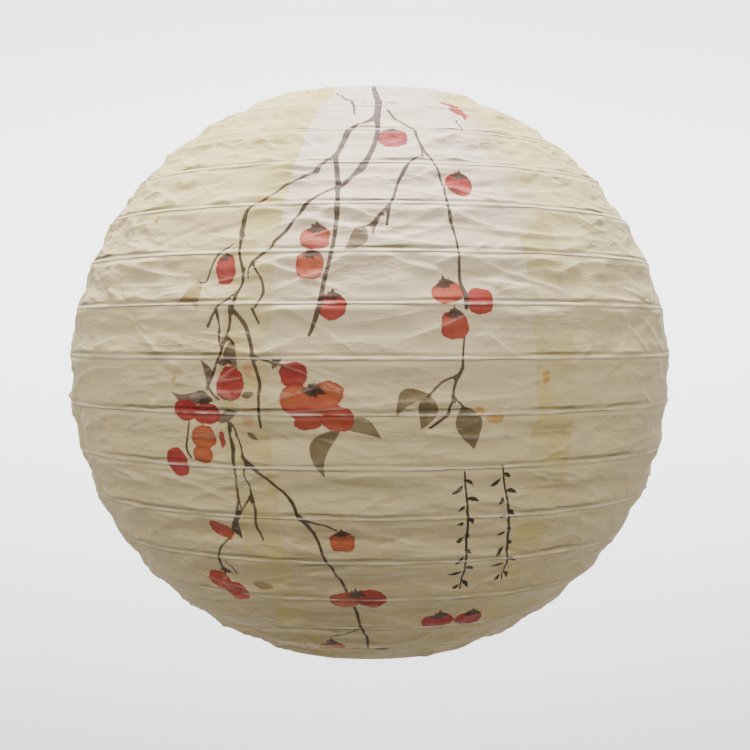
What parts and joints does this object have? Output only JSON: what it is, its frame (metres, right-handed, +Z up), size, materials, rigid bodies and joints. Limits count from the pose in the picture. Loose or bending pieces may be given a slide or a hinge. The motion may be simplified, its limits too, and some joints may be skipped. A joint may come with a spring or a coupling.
{
  "type": "paper lantern",
  "caption": "Round collapsible paper lantern with wire hoops and rims, open at top and bottom, held taut by a spring-wire expander with a hanging eye.",
  "frame": {"origin": "centre of the hanging eye, which is also the centre of the top opening", "axes": "+Z up along the lantern's axis, with the expander's bar along X; the front of the print faces -Y"},
  "size_m": [0.3992, 0.3992, 0.3717],
  "materials": {
    "printed_paper": "matte printed paper with a faint silky sheen, creased",
    "hoop_wire": "dull drawn steel wire with dried glue",
    "rim_wire": "dull drawn steel wire",
    "spring_wire": "satin spring-steel wire with fine draw lines"
  },
  "bodies": {
    "lantern_top": {"top_rim": "rim_wire", "expander_top_bar": "spring_wire", "paper_gore_1": "printed_paper", "paper_gore_2": "printed_paper", "paper_gore_3": "printed_paper", "paper_gore_4": "printed_paper", "paper_gore_5": "printed_paper", "paper_gore_6": "printed_paper", "paper_gore_7": "printed_paper"},
    "bottom_rim": {"bottom_rim": "rim_wire"},
    "leg_left": {"expander_leg_left": "spring_wire"},
    "leg_right": {"expander_leg_right": "spring_wire"},
    "hoop_01": {"rib_hoop_01": "hoop_wire"},
    "hoop_02": {"rib_hoop_02": "hoop_wire"},
    "hoop_03": {"rib_hoop_03": "hoop_wire"},
    "hoop_04": {"rib_hoop_04": "hoop_wire"},
    "hoop_05": {"rib_hoop_05": "hoop_wire"},
    "hoop_06": {"rib_hoop_06": "hoop_wire"},
    "hoop_07": {"rib_hoop_07": "hoop_wire"},
    "hoop_08": {"rib_hoop_08": "hoop_wire"},
    "hoop_09": {"rib_hoop_09": "hoop_wire"},
    "hoop_10": {"rib_hoop_10": "hoop_wire"},
    "hoop_11": {"rib_hoop_11": "hoop_wire"},
    "hoop_12": {"rib_hoop_12": "hoop_wire"},
    "hoop_13": {"rib_hoop_13": "hoop_wire"},
    "hoop_14": {"rib_hoop_14": "hoop_wire"}
  },
  "joints": [
    {"name": "collapse", "type": "slide", "parent": "lantern_top", "child": "bottom_rim", "axis": [0, 0, 1], "range_m": [0, 0.3327], "deforming": ["paper_gore_1", "paper_gore_2", "paper_gore_3", "paper_gore_4", "paper_gore_5", "paper_gore_6", "paper_gore_7"]},
    {"name": "hoop_01_rise", "type": "slide", "parent": "lantern_top", "child": "hoop_01", "axis": [0, 0, 1], "range_m": [0, 0.017]},
    {"name": "hoop_02_rise", "type": "slide", "parent": "lantern_top", "child": "hoop_02", "axis": [0, 0, 1], "range_m": [0, 0.0337]},
    {"name": "hoop_03_rise", "type": "slide", "parent": "lantern_top", "child": "hoop_03", "axis": [0, 0, 1], "range_m": [0, 0.0537]},
    {"name": "hoop_04_rise", "type": "slide", "parent": "lantern_top", "child": "hoop_04", "axis": [0, 0, 1], "range_m": [0, 0.0764]},
    {"name": "hoop_05_rise", "type": "slide", "parent": "lantern_top", "child": "hoop_05", "axis": [0, 0, 1], "range_m": [0, 0.1014]},
    {"name": "hoop_06_rise", "type": "slide", "parent": "lantern_top", "child": "hoop_06", "axis": [0, 0, 1], "range_m": [0, 0.1279]},
    {"name": "hoop_07_rise", "type": "slide", "parent": "lantern_top", "child": "hoop_07", "axis": [0, 0, 1], "range_m": [0, 0.1553]},
    {"name": "hoop_08_rise", "type": "slide", "parent": "lantern_top", "child": "hoop_08", "axis": [0, 0, 1], "range_m": [0, 0.183]},
    {"name": "hoop_09_rise", "type": "slide", "parent": "lantern_top", "child": "hoop_09", "axis": [0, 0, 1], "range_m": [0, 0.2104]},
    {"name": "hoop_10_rise", "type": "slide", "parent": "lantern_top", "child": "hoop_10", "axis": [0, 0, 1], "range_m": [0, 0.2366]},
    {"name": "hoop_11_rise", "type": "slide", "parent": "lantern_top", "child": "hoop_11", "axis": [0, 0, 1], "range_m": [0, 0.2611]},
    {"name": "hoop_12_rise", "type": "slide", "parent": "lantern_top", "child": "hoop_12", "axis": [0, 0, 1], "range_m": [0, 0.2834]},
    {"name": "hoop_13_rise", "type": "slide", "parent": "lantern_top", "child": "hoop_13", "axis": [0, 0, 1], "range_m": [0, 0.3027]},
    {"name": "hoop_14_rise", "type": "slide", "parent": "lantern_top", "child": "hoop_14", "axis": [0, 0, 1], "range_m": [0, 0.3188]},
    {"name": "leg_left_squeeze", "type": "hinge", "parent": "lantern_top", "child": "leg_left", "pos_m": [-0.06056, 0.0028, -0.01034], "axis": [0, -1, 0], "range_deg": [0, 8]},
    {"name": "leg_right_squeeze", "type": "hinge", "parent": "lantern_top", "child": "leg_right", "pos_m": [0.06056, 0.0028, -0.01034], "axis": [0, 1, 0], "range_deg": [0, 8]}
  ],
  "couplings": [
    {"joint": "hoop_01_rise", "follows": "collapse", "ratio": 0.05083},
    {"joint": "hoop_02_rise", "follows": "collapse", "ratio": 0.10119},
    {"joint": "hoop_03_rise", "follows": "collapse", "ratio": 0.16126},
    {"joint": "hoop_04_rise", "follows": "collapse", "ratio": 0.22959},
    {"joint": "hoop_05_rise", "follows": "collapse", "ratio": 0.30451},
    {"joint": "hoop_06_rise", "follows": "collapse", "ratio": 0.38419},
    {"joint": "hoop_07_rise", "follows": "collapse", "ratio": 0.4667},
    {"joint": "hoop_08_rise", "follows": "collapse", "ratio": 0.55002},
    {"joint": "hoop_09_rise", "follows": "collapse", "ratio": 0.63212},
    {"joint": "hoop_10_rise", "follows": "collapse", "ratio": 0.71099},
    {"joint": "hoop_11_rise", "follows": "collapse", "ratio": 0.78473},
    {"joint": "hoop_12_rise", "follows": "collapse", "ratio": 0.85153},
    {"joint": "hoop_13_rise", "follows": "collapse", "ratio": 0.90976},
    {"joint": "hoop_14_rise", "follows": "collapse", "ratio": 0.958},
    {"joint": "leg_left_squeeze", "follows": "collapse", "rad_per_m": 0.4196},
    {"joint": "leg_right_squeeze", "follows": "collapse", "rad_per_m": 0.4196}
  ]
}
